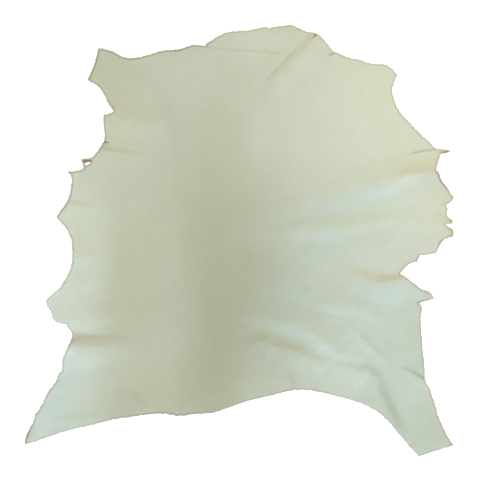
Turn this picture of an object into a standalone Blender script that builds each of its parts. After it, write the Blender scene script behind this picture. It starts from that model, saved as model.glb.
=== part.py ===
"""A whole leather hide lying flat, grain side up, with the folds that a shipped skin keeps.

Metres, +Z up. The origin is under the middle of the hide's box, +Y runs to the neck, and the
underside rests on z = 0 wherever the skin lies flat.
"""

import bmesh
import bpy
import numpy as np

MM = 0.001

# Driving dimensions.
HIDE_WIDTH = 768 * MM       # across the skin, left foot to the right foreleg's lobes
HIDE_LENGTH = 773 * MM      # along the skin, neck to the right foot
LEATHER_THICKNESS = 1.3 * MM

# How finely the sheet and its edge are cut.
CELL = 26 * MM              # spacing of the sheet's points where it lies flat
FOLD_ACCURACY = 0.25 * MM   # an edge is halved while its middle misses the fold by more
MOST_HALVINGS = 3
CREST_STEPS = 10            # points to a span of a fold's crest
EDGE_STEPS = 2              # straight steps to a span of the hide's edge
CUTTER_HEIGHT = 80 * MM
WELD = 0.01 * MM

# The raw edge, clockwise from the neck's left corner, in millimetres. Each run starts at a
# corner, passes smoothly through its points and ends at the next run's corner.
# Columns: run, corner (x, y), smooth points ((x, y), ...).
EDGE_RUNS = (
    ("neck, left", (-251.5, 345), ((-242, 343), (-231, 340), (-225, 338.5), (-214, 331.5),
                                   (-201, 327), (-184, 327), (-159, 333), (-136, 340),
                                   (-114, 341.5), (-104, 343.3), (-94, 346.5), (-80, 350.4))),
    ("neck notch", (-60, 348), ()),
    ("neck, middle", (-60, 352), ((-52, 356), (-39, 365), (-23, 372.2), (-9, 374.5),
                                  (20, 376.5), (35, 380.5))),
    ("neck nick", (49, 382.5), ()),
    ("neck, rising", (53, 379.5), ((62, 382.5), (83, 384.5))),
    ("neck peak", (91, 387), ((105, 381), (122, 373.5), (132, 372), (142, 368), (151, 360))),
    ("right cheek", (167, 340), ((178, 335), (190, 330), (205, 325), (215, 324.5), (228, 318),
                                 (252, 315.8), (266, 313.7))),
    ("right fore corner", (283, 296), ((277, 281), (273.5, 267), (276.8, 257), (279.6, 245),
                                       (293.5, 223.3), (315.5, 200.3), (328.5, 186.4),
                                       (339.5, 178.5), (348.5, 166.8), (357, 164.3),
                                       (365.5, 162.6))),
    ("spike", (379.5, 160.5), ((368.5, 156),)),
    ("spike root", (360, 154.5), ((357.8, 146),)),
    ("right foreleg", (351.5, 127), ((358.4, 117.5), (360, 111), (374, 93), (376, 88.5))),
    ("first lobe", (384, 77), ((377, 67.5),)),
    ("second lobe", (369, 64), ((373.5, 57), (371, 48), (374, 41), (381, 37))),
    ("lobe slit", (381.5, 30.4), ()),
    ("third lobe", (368, 29.6), ((371.6, 26.4), (376, 24), (380.8, 21.2), (384, 14))),
    ("third lobe, under", (382.5, 7), ((374, 5.2),)),
    ("foreleg end", (363, -1), ((356, -15),)),
    ("foreleg, under", (351.5, -23), ((340.5, -24.2), (335, -26), (323, -26.6), (318, -38),
                                      (309, -39.6), (297, -48))),
    ("right armpit", (288, -59), ((299, -65.5), (309.5, -74.6), (316.7, -78.6),
                                  (324.7, -86.3), (335.5, -89.4), (341, -92), (344, -95.5))),
    ("flank spur", (348.5, -104), ((337.5, -107.2), (329.6, -109.3))),
    ("flank spur, under", (323, -111.8), ()),
    ("right flank", (328, -122), ((325, -136), (326, -158), (328.5, -196), (332, -230))),
    ("right shank", (332, -248), ((335.8, -256.5), (342, -266), (345.3, -280), (349, -286.5),
                                  (350, -292.5), (353.5, -302), (354.8, -309.5), (359, -321),
                                  (363.5, -330.5), (371.5, -347.5))),
    ("right foot", (383.5, -366), ((347, -377.8),)),
    ("rump, right", (321.5, -386), ((304.5, -368), (295.5, -356.5), (285.5, -345.8), (265, -321.3),
                                    (242, -302.5), (209, -288), (168, -276.6),
                                    (132, -268.6), (98, -267.5), (60, -276.5),
                                    (37, -281.8), (3, -290.8), (-20, -299.8))),
    ("rump, left", (-47, -308.5), ((-84, -311), (-111, -314), (-127, -310.3), (-156, -310.3),
                                   (-195, -316), (-223.5, -319.6), (-240, -323.9),
                                   (-271, -331.8), (-302, -338.5), (-350, -354.5),
                                   (-362, -358.8), (-373, -362.3))),
    ("left foot", (-384, -363.5), ((-380, -347), (-371, -329), (-365.6, -317), (-364.8, -311),
                                   (-355, -298), (-347, -281), (-341, -269), (-327, -251))),
    ("left shank", (-323, -238), ((-316.6, -232.5), (-316, -215), (-308, -196))),
    ("left flank crease", (-298, -173), ((-299, -164.5), (-305, -157.4))),
    ("left flank nick", (-308.5, -149.5), ((-317, -148.5), (-327.5, -144.9))),
    ("left flank lobe", (-334, -137), ((-334, -131), (-343, -117))),
    ("left flank", (-345, -106), ((-329, -92), (-319.8, -84), (-316.3, -78), (-303.8, -57),
                                  (-298, -35), (-298.4, -14), (-299.3, -1), (-303.8, 10),
                                  (-306.3, 17.5), (-315.5, 29))),
    ("left foreleg", (-327, 42), ((-315.8, 58), (-306.6, 72), (-301.6, 90), (-299, 110))),
    ("left spur", (-300.3, 116.7), ()),
    ("left spur, over", (-308, 123.2), ((-297, 124), (-283.6, 126.3))),
    ("torn strip", (-278.4, 129.5), ((-279, 136),)),
    ("torn strip, over", (-282, 145.3), ((-275.5, 146.6), (-262.5, 148.5), (-257, 155),
                                         (-252, 161.5))),
    ("left shoulder nick", (-241, 179), ((-240.5, 194), (-242.5, 209))),
    ("left shoulder", (-242, 225), ((-229.8, 227),)),
    ("left neck hollow", (-223.5, 231), ((-235.2, 247), (-239.2, 256.7), (-244.3, 266),
                                         (-251.7, 275.3), (-259.8, 280.9))),
    ("left cheek", (-271, 286.5), ((-263, 305), (-256.5, 324))),
)

# The little tear through the left foreleg's strip, in millimetres.
TEAR = ((-275, 135), (-274, 139), (-268, 141), (-266, 140), (-270, 136))

# The folds, in millimetres. A fold is a soft ridge: its crest runs through the points (x, y,
# height), and the skin falls to the surface over its own width to the left and to the right of
# the crest, seen along it. Crests that leave the skin run on past its edge.
# Columns: fold, left width, right width, crest ((x, y, height), ...).
FOLDS = (
    ("right shoulder", 43, 25, ((395, 124, 6), (349, 123, 6), (320, 122, 5.5), (292, 118, 4.5),
                                (270, 113, 3.2), (243, 105, 2.4), (207, 94, 1.9),
                                (166, 81, 1.4), (123, 67, 0.7), (73, 53, 0))),
    ("right side, middle", 17, 29, ((41, 13, 0), (82, 17, 1), (113, 21, 1.8), (154, 21, 2.1),
                                    (199, 24, 1.8), (238, 32, 1.1), (274, 35, 0.7),
                                    (310, 33, 0.6), (342, 30, 0.8), (370, 32, 1.6),
                                    (400, 33, 1.6))),
    ("right armpit", 44, 14, ((320, -62, 6.6), (288, -64, 6.6), (268, -70, 6.4),
                              (249, -72, 5.8), (231, -67, 4), (213, -60, 2.6), (197, -53, 1.3),
                              (181, -46, 0))),
    ("right side, low", 20, 20, ((130, -112, 0), (172, -113, 1.8), (225, -124, 1.8),
                                 (262, -143, 0))),
    ("rump, upper", 45, 24, ((-5, -126, 0), (20, -126, 2), (52, -128, 3.3), (88, -135, 3.8),
                             (118, -149, 3.5), (141, -166, 2.8), (166, -186, 1.9),
                             (190, -203, 1.1), (213, -215, 0))),
    ("rump, lower", 17, 43, ((-5, -180, 0), (20, -181, 2.2), (46, -183, 4), (73, -192, 5),
                             (100, -206, 5.2), (125, -215, 3.8), (154, -219, 1.9),
                             (186, -226, 1.6), (213, -234, 2), (238, -246, 0))),
    ("right flank, slanting", 9, 20, ((191, -146, 0), (206, -162, 0.9), (220, -178, 1.5),
                                      (236, -196, 1.6), (252, -212, 0.8), (268, -226, 0))),
    ("right flank, edge", 8, 18, ((288, -229, 0), (299, -234, 0.8), (313, -241, 1.6),
                                  (327, -248, 2), (352, -264, 2.2))),
    ("right shank, inner", 41, 41, ((224, -207, 0), (241, -233, 1.8), (259, -260, 2.8),
                                    (274, -285, 3.2), (286, -308, 3), (299, -335, 2.2),
                                    (313, -366, 1.2), (324, -385, 0))),
    ("left flank, upper", 45, 27, ((-360, -141, 4.2), (-302, -138, 4.2), (-266, -136, 3.4),
                                   (-231, -132, 1.8), (-195, -127, 0))),
    ("left flank, lower", 23, 48, ((-360, -189, 6.6), (-299, -189, 6.6), (-266, -189, 6),
                                   (-234, -188, 4.4), (-206, -186, 2.6), (-173, -182, 0))),
    ("left side, middle", 45, 26, ((-338, -28, 2.2), (-293, -30, 2), (-258, -33, 1),
                                   (-227, -37, 0))),
    ("left foreleg", 12, 28, ((-347, 65, 1.9), (-309, 64, 1.9), (-288, 63, 1.3),
                              (-270, 60, 0.6), (-249, 56, 0))),
    ("left shoulder, lower", 12, 30, ((-281, 160, 2), (-238, 158, 2), (-216, 157, 1.7),
                                      (-195, 155, 0.9), (-152, 151, 0))),
    ("left shoulder, upper", 18, 36, ((-280, 224, 2), (-242, 223, 2), (-195, 221, 1.8),
                                      (-159, 216, 1), (-125, 208, 0))),
    ("neck", 42, 16, ((170, 394, 3.4), (143, 368, 3.4), (117, 341, 3.2), (89, 317, 2.6),
                      (64, 289, 1.7), (45, 266, 0))),
)

LEATHER_COLOR = (0.546, 0.584, 0.456, 1.0)
LEATHER_ROUGHNESS = 0.55
SHARP_ANGLE = np.radians(40)


def clear_scene():
    for item in list(bpy.data.objects):
        bpy.data.objects.remove(item, do_unlink=True)


def add_collection(name):
    collection = bpy.data.collections.new(name)
    bpy.context.scene.collection.children.link(collection)
    return collection


def leather_material():
    material = bpy.data.materials.new("hide_leather")
    material.use_nodes = True
    shader = material.node_tree.nodes["Principled BSDF"]
    shader.inputs["Base Color"].default_value = LEATHER_COLOR
    shader.inputs["Roughness"].default_value = LEATHER_ROUGHNESS
    shader.inputs["Metallic"].default_value = 0.0
    return material


def smooth_line(points, steps):
    """A Catmull-Rom curve through the rows of points, with its ends carried straight on."""
    rows = np.array(points, dtype=float)
    rows = np.vstack((2 * rows[0] - rows[1], rows, 2 * rows[-1] - rows[-2]))
    t = np.linspace(0, 1, steps, endpoint=False)[:, None]
    spans = []
    for before, start, end, after in zip(rows, rows[1:], rows[2:], rows[3:]):
        linear = (end - before) * t
        square = (2 * before - 5 * start + 4 * end - after) * t ** 2
        cubic = (3 * start - before - 3 * end + after) * t ** 3
        spans.append(0.5 * (2 * start + linear + square + cubic))
    spans.append(rows[-2:-1])
    return np.vstack(spans)


def fold_height(xy):
    """How high the folds lift each point (x, y): for each fold h (1 - (d / w)^2)^2, where d is
    the distance to its crest, h the crest's height there and w the width on that side."""
    total = np.zeros(len(xy))
    everyone = np.arange(len(xy))
    for _name, left_width, right_width, crest in FOLDS:
        line = smooth_line(crest, CREST_STEPS) * MM
        heading = np.gradient(line[:, :2], axis=0)
        offsets = xy[:, None, :] - line[None, :, :2]
        nearest = np.argmin(np.sum(offsets ** 2, axis=2), axis=1)
        offset = offsets[everyone, nearest]
        ahead = heading[nearest]
        is_left = ahead[:, 0] * offset[:, 1] > ahead[:, 1] * offset[:, 0]
        width = np.where(is_left, left_width, right_width) * MM
        share = np.minimum(np.hypot(offset[:, 0], offset[:, 1]) / width, 1)
        total += np.maximum(line[nearest, 2], 0) * (1 - share ** 2) ** 2
    return total


def plan_points(vertices):
    return np.array([vertex.co[:2] for vertex in vertices])


def halve_bent_edges(bm):
    """Halve each edge whose middle would miss the fold by more than FOLD_ACCURACY."""
    edges = list(bm.edges)
    starts = plan_points([edge.verts[0] for edge in edges])
    ends = plan_points([edge.verts[1] for edge in edges])
    chord = (fold_height(starts) + fold_height(ends)) / 2
    miss = np.abs(fold_height((starts + ends) / 2) - chord)
    bent = [edge for edge, amount in zip(edges, miss) if amount > FOLD_ACCURACY]
    bmesh.ops.subdivide_edges(bm, edges=bent, cuts=1, use_grid_fill=True)
    bmesh.ops.triangulate(bm, faces=bm.faces)


def make_sheet(collection, material):
    """The skin before its edge is cut: a grid lifted into the folds, with its thickness added
    above it so that the underside keeps to z = 0."""
    columns = int(np.ceil(HIDE_WIDTH / CELL)) + 2
    rows = int(np.ceil(HIDE_LENGTH / CELL)) + 2
    bm = bmesh.new()
    bmesh.ops.create_grid(bm, x_segments=columns, y_segments=rows, size=0.5)
    bmesh.ops.scale(bm, vec=(columns * CELL, rows * CELL, 1), verts=bm.verts)
    bmesh.ops.triangulate(bm, faces=bm.faces)
    for _ in range(MOST_HALVINGS):
        halve_bent_edges(bm)
    for vertex, height in zip(bm.verts, fold_height(plan_points(bm.verts))):
        vertex.co.z = height
    mesh = bpy.data.meshes.new("hide")
    bm.to_mesh(mesh)
    bm.free()
    mesh.materials.append(material)
    hide = bpy.data.objects.new("hide", mesh)
    collection.objects.link(hide)
    body = hide.modifiers.new("leather thickness", "SOLIDIFY")
    body.thickness = LEATHER_THICKNESS
    body.offset = 1
    body.use_even_offset = True
    return hide


def make_cutter(name, knots, collection):
    """An upright prism over a closed outline. Columns of a knot: x and y in millimetres, and
    whether the outline turns a corner there."""
    curve = bpy.data.curves.new(name, "CURVE")
    curve.dimensions = "2D"
    curve.fill_mode = "BOTH"
    curve.extrude = CUTTER_HEIGHT / 2
    spline = curve.splines.new("BEZIER")
    spline.bezier_points.add(len(knots) - 1)
    spline.use_cyclic_u = True
    spline.resolution_u = EDGE_STEPS
    for point, (x, y, is_corner) in zip(spline.bezier_points, knots):
        point.co = (x * MM, y * MM, 0)
        handle = "VECTOR" if is_corner else "AUTO"
        point.handle_left_type = handle
        point.handle_right_type = handle
    outline = bpy.data.objects.new(name + "_outline", curve)
    collection.objects.link(outline)
    depsgraph = bpy.context.evaluated_depsgraph_get()
    mesh = bpy.data.meshes.new_from_object(outline.evaluated_get(depsgraph))
    bm = bmesh.new()
    bm.from_mesh(mesh)
    bmesh.ops.remove_doubles(bm, verts=bm.verts, dist=WELD)
    bmesh.ops.recalc_face_normals(bm, faces=bm.faces)
    bm.to_mesh(mesh)
    bm.free()
    cutter = bpy.data.objects.new(name, mesh)
    cutter.matrix_world = outline.matrix_world
    collection.objects.link(cutter)
    cutter.hide_render = True
    cutter.display_type = "WIRE"
    bpy.data.objects.remove(outline, do_unlink=True)
    return cutter


def edge_knots():
    knots = []
    for _name, corner, smooth_points in EDGE_RUNS:
        knots.append((*corner, True))
        knots.extend((*point, False) for point in smooth_points)
    return knots


def cut(body, cutter, operation):
    boolean = body.modifiers.new(cutter.name, "BOOLEAN")
    boolean.operation = operation
    boolean.solver = "EXACT"
    boolean.object = cutter


def shade(body):
    body.data.shade_smooth()
    body.data.set_sharp_from_angle(angle=SHARP_ANGLE)


def main():
    clear_scene()
    parts = add_collection("leather_hide")
    cutters = add_collection("cutters")
    hide = make_sheet(parts, leather_material())
    cut(hide, make_cutter("raw_edge", edge_knots(), cutters), "INTERSECT")
    tear = make_cutter("tear", [(x, y, False) for x, y in TEAR], cutters)
    cut(hide, tear, "DIFFERENCE")
    shade(hide)


main()
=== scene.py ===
import bpy
import numpy as np
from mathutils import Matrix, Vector
from mathutils.geometry import delaunay_2d_cdt


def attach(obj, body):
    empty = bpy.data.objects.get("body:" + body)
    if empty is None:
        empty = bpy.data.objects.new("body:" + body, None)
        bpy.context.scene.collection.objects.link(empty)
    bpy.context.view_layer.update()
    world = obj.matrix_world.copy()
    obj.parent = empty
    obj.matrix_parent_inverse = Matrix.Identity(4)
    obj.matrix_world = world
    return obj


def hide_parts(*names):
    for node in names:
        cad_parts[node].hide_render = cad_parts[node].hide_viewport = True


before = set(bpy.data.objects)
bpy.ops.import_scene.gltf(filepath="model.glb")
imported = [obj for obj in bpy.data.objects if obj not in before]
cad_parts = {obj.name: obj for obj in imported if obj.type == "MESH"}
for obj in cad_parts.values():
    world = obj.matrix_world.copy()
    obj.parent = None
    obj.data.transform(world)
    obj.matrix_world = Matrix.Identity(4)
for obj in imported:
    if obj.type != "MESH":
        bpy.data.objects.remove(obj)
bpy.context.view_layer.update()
mm = 0.001
print("frame loaded:", sorted(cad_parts))


skin = {
    "name": "leatherSkin",
    "thickness": 1.3,
    "rimThickness": 0.9,  # squeezed by the knife
    "rimBand": 3.0,  # where the thinning starts
    "rimBulge": 0.12,  # how far the cut stands proud
    "rimStep": 1.3,  # spacing of the points along the raw edge
    "rimRings": (0.6, 1.3, 2.3),  # how far in its rings of points are
    "ringClear": 0.9,  # the share of that which the rest of the edge leaves clear
    "ringRoom": 0.7,  # clear space inside the last
    "easings": 4,  # rounds of easing the shallow corners
    "sharpTurn": 32,  # those past this many degrees stay sharp
    "wobble": 0.62,  # how unevenly the raw edge is cut
    "ripples": (4, 28, 90),  # its waves: shortest and longest in steps, how many
    "stripWidth": (2, 12),  # hardly any in a strip this narrow, all in one this wide
    "stripReach": 9,  # a strip's sides are this far apart round the edge
    "cell": 3.8,  # spacing of the grain side's points
    "edgeReach": 6.0,  # the points are twice as dense this near the edge
    "creaseReach": 8.0,  # and this near a crease or a furrow
    "lineReach": 2.6,  # and four times as dense this near a thin line
    "underCell": 6.2,  # spacing of the flesh side's points
    "underReach": 9,  # they are twice as dense this near a fold
    "underRoom": 1.2,  # and stay this far from the edge
    "drift": 1.6,  # how far the folds wander
    "driftWaves": (110, 30, 16),  # each such row: longest, shortest, how many
    "swell": 0.4,  # broad unevenness
    "swellWaves": (190, 60, 24),
    "lift": 0.9,  # how far the edge lifts here and there
    "liftReach": 9,
    "liftWaves": (90, 24, 24),
    "crinkle": 0.13,  # small unevenness, most where it lies loose
    "crinkleWaves": (60, 18, 40),
    "crinkleSquash": (1, 1.5),  # they are shorter along the skin
    "taut": 0.5,  # the share of it where the skin lies taut
    "seed": 12,
}

# Each fold: its name, how sharp its crest is from 0 to 1, and rows along the crest of x, y,
# height, and the widths of the left and right slopes. A furrow's height is below zero.
folds = [
    ("right shoulder", 0.5, [(381, 123, 6, 27, 48), (349, 122, 6, 27, 50), (320, 120, 5.5, 25, 52),
        (295, 115, 4.9, 25, 52), (274, 108, 4.3, 27, 54), (245, 99, 3.5, 29, 52), (213, 92, 2.5, 30, 45),
        (181, 84, 1.9, 32, 38), (123, 67, 0.8, 32, 27), (73, 53, 0, 29, 23)]),
    ("spike crease", 0.9, [(369, 163, 1.1, 13, 5), (347, 161, 1, 13, 5), (331, 159, 0.8, 11, 5),
        (313, 155, 0.4, 9, 5), (293, 151, 0, 9, 4)]),
    ("right side, middle", 0.3, [(399, 33, 2, 14, 20), (370, 32, 1.8, 14, 20), (342, 30, 0.9, 14, 20),
        (309, 33, 0.6, 14, 20), (274, 35, 1, 14, 21), (238, 32, 1.5, 16, 23), (199, 24, 2.4, 23, 25),
        (154, 21, 2.8, 25, 25), (113, 21, 2.4, 23, 23), (82, 17, 1.2, 21, 18), (41, 13, 0, 18, 13)]),
    ("right armpit", 0.4, [(306, -76, 0.4, 39, 13), (293, -74, 3.4, 43, 14), (281, -74, 4.8, 45, 16),
        (267, -75, 5.4, 45, 17), (249, -74, 5.2, 43, 18), (231, -69, 4, 41, 18), (213, -61, 2.7, 32, 16),
        (197, -53, 1.4, 21, 14), (177, -45, 0, 14, 13)]),
    ("right side, low", 0.2, [(131, -112, 0, 21, 18), (172, -113, 1.5, 23, 20), (225, -123, 1.5, 23, 20),
        (261, -142, 0, 21, 18)]),
    ("rump, upper", 0.4, [(-5, -131, 0, 41, 21), (20, -132, 1.7, 43, 23), (47, -135, 2.6, 45, 23),
        (64, -139, 2.9, 45, 23), (82, -145, 3.1, 47, 22), (100, -150, 3.2, 45, 22),
        (118, -157, 3.1, 43, 23), (141, -171, 2.7, 38, 25), (166, -191, 1.9, 30, 23),
        (190, -206, 1.2, 25, 18), (213, -216, 0, 21, 14)]),
    ("rump, lower", 0.5, [(2, -187, 0, 18, 39), (20, -186, 0.9, 20, 43), (34, -184, 2.6, 20, 45),
        (47, -182, 4.2, 21, 47), (64, -189, 5, 21, 47), (82, -195, 5.2, 20, 47), (100, -199, 4.9, 18, 45),
        (118, -206, 3.9, 17, 43), (134, -213, 2.1, 16, 39), (154, -217, 1.5, 14, 36),
        (186, -225, 1.6, 13, 32), (213, -233, 2, 13, 29), (229, -233, 1.9, 13, 25),
        (245, -242, 1.3, 13, 21), (259, -257, 0, 13, 16)]),
    ("right flank", 0.3, [(188, -142, 0, 16, 21), (206, -160, 0.9, 16, 23), (222, -177, 1.7, 16, 25),
        (240, -194, 1.8, 16, 25), (256, -210, 1.1, 16, 20), (272, -226, 0, 13, 14)]),
    ("right flank, edge", 0.7, [(288, -226, 0, 7, 18), (299, -230, 0.8, 7, 18), (313, -237, 1.6, 7, 18),
        (327, -245, 2, 8, 20), (352, -260, 2.2, 9, 21)]),
    ("right shank, inner", 0.3, [(224, -207, 0, 32, 25), (242, -233, 1.8, 39, 36), (259, -260, 2.8, 43, 43),
        (274, -285, 3.2, 43, 43), (286, -309, 3, 39, 39), (299, -335, 2.2, 36, 29), (313, -366, 1, 29, 21),
        (324, -386, 0, 18, 14)]),
    ("right shank, furrow", 0.2, [(239, -233, 0, 13, 13), (250, -250, -0.9, 18, 16),
        (259, -269, -1.4, 20, 16), (268, -287, -1.4, 20, 16), (277, -306, -1.2, 18, 16),
        (287, -323, -0.8, 14, 13), (299, -341, 0, 11, 9)]),
    ("right shank, outer", 0.2, [(306, -289, 0, 16, 14), (324, -312, 0.8, 14, 16), (352, -346, 1, 13, 16),
        (381, -378, 1, 13, 16)]),
    ("left flank, upper", 0.2, [(-360, -140, 2.8, 43, 25), (-302, -140, 3, 43, 25),
        (-267, -137, 2.6, 43, 25), (-234, -133, 1.6, 36, 23), (-195, -128, 0, 29, 21)]),
    ("left flank, lower", 0.3, [(-360, -193, 7.4, 29, 50), (-299, -193, 7.4, 29, 50),
        (-270, -191, 6.2, 27, 48), (-242, -189, 3.9, 25, 47), (-209, -187, 1.8, 23, 39),
        (-177, -183, 0, 18, 32)]),
    ("left lobe", 0.1, [(-356, -81, 2.4, 47, 54), (-317, -81, 2.2, 47, 54), (-284, -83, 1.5, 43, 50),
        (-249, -89, 0, 36, 43)]),
    ("left side, middle", 0.1, [(-338, -28, 2.2, 47, 25), (-293, -30, 2, 47, 27), (-258, -33, 1, 39, 25),
        (-227, -37, 0, 29, 21)]),
    ("left foreleg", 0.5, [(-347, 65, 1.9, 13, 29), (-309, 64, 1.9, 13, 29), (-288, 63, 1.3, 11, 29),
        (-270, 60, 0.6, 9, 25), (-249, 56, 0, 9, 21)]),
    ("left shoulder, lower", 0.5, [(-281, 158, 1.6, 13, 30), (-238, 157, 1.7, 13, 30),
        (-216, 155, 1.4, 13, 32), (-195, 155, 0.8, 11, 32), (-174, 153, 0.3, 9, 27),
        (-152, 151, 0, 9, 21)]),
    ("left shoulder, upper", 0.0, [(-284, 221, 1.8, 32, 36), (-234, 221, 2, 32, 36), (-195, 219, 2, 32, 36),
        (-159, 214, 1.4, 29, 32), (-123, 208, 0, 21, 29)]),
    ("neck", 0.3, [(170, 394, 3, 43, 18), (143, 368, 3.1, 43, 18), (117, 341, 2.8, 41, 18),
        (89, 317, 2.5, 38, 16), (66, 289, 1.6, 32, 16), (47, 266, 0, 25, 13)]),
]

# Finer creases of the grain side, in the same columns.
creases = [
    ("neck, long", 0.8, [(-73, 350, 0, 4, 11), (-48, 343, 0.3, 4, 13), (-13, 339, 0.3, 4, 14),
        (23, 337, 0.3, 4, 14), (52, 335, 0.3, 4, 14), (77, 330, 0.2, 4, 13), (95, 325, 0, 4, 11)]),
    ("left cheek", 0.7, [(-238, 235, 0.4, 5, 9), (-225, 229, 0.5, 5, 11), (-213, 222, 0.4, 5, 11),
        (-195, 214, 0, 5, 9)]),
    ("right shank, thin", 0.6, [(281, -267, 0, 5, 11), (297, -287, 0.1, 6, 13), (318, -315, 0.2, 6, 13),
        (340, -343, 0.2, 6, 13), (363, -369, 0.2, 6, 13)]),
    ("flank, top", 0.2, [(127, -103, 0, 9, 11), (148, -114, 0.3, 9, 11), (170, -123, 0.4, 9, 11),
        (195, -133, 0.3, 9, 11), (227, -140, 0, 9, 11)]),
    ("flank, left", 0.2, [(127, -153, 0, 11, 13), (145, -171, 0.2, 11, 13), (166, -192, 0.2, 11, 13),
        (186, -207, 0, 11, 13)]),
    ("flank, low", 0.2, [(188, -167, 0, 9, 11), (204, -187, 0.5, 9, 11), (224, -208, 0.5, 9, 11),
        (242, -223, 0, 9, 11)]),
    ("flank, right", 0.2, [(202, -128, 0, 9, 11), (225, -151, 0.3, 9, 11), (252, -176, 0.4, 9, 11),
        (277, -196, 0.3, 9, 11), (299, -210, 0, 9, 11)]),
    ("flank, edge", 0.2, [(252, -117, 0, 9, 11), (267, -139, 0.3, 9, 11), (288, -160, 0.3, 9, 11),
        (309, -174, 0, 9, 11)]),
    ("rump wrinkle", 0.2, [(73, -208, 0, 13, 13), (86, -226, 0.5, 13, 13), (97, -246, 0.5, 13, 13),
        (106, -264, 0, 13, 13)]),
    ("shank wrinkle", 0.2, [(292, -257, 0, 9, 11), (309, -280, 0.3, 9, 11), (324, -303, 0.3, 9, 11),
        (336, -326, 0, 9, 11)]),
    ("shoulder", 0.2, [(320, 106, 0, 9, 11), (284, 98, 0.3, 9, 11), (249, 89, 0.3, 9, 11),
        (202, 72, 0, 9, 11)]),
]

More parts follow.
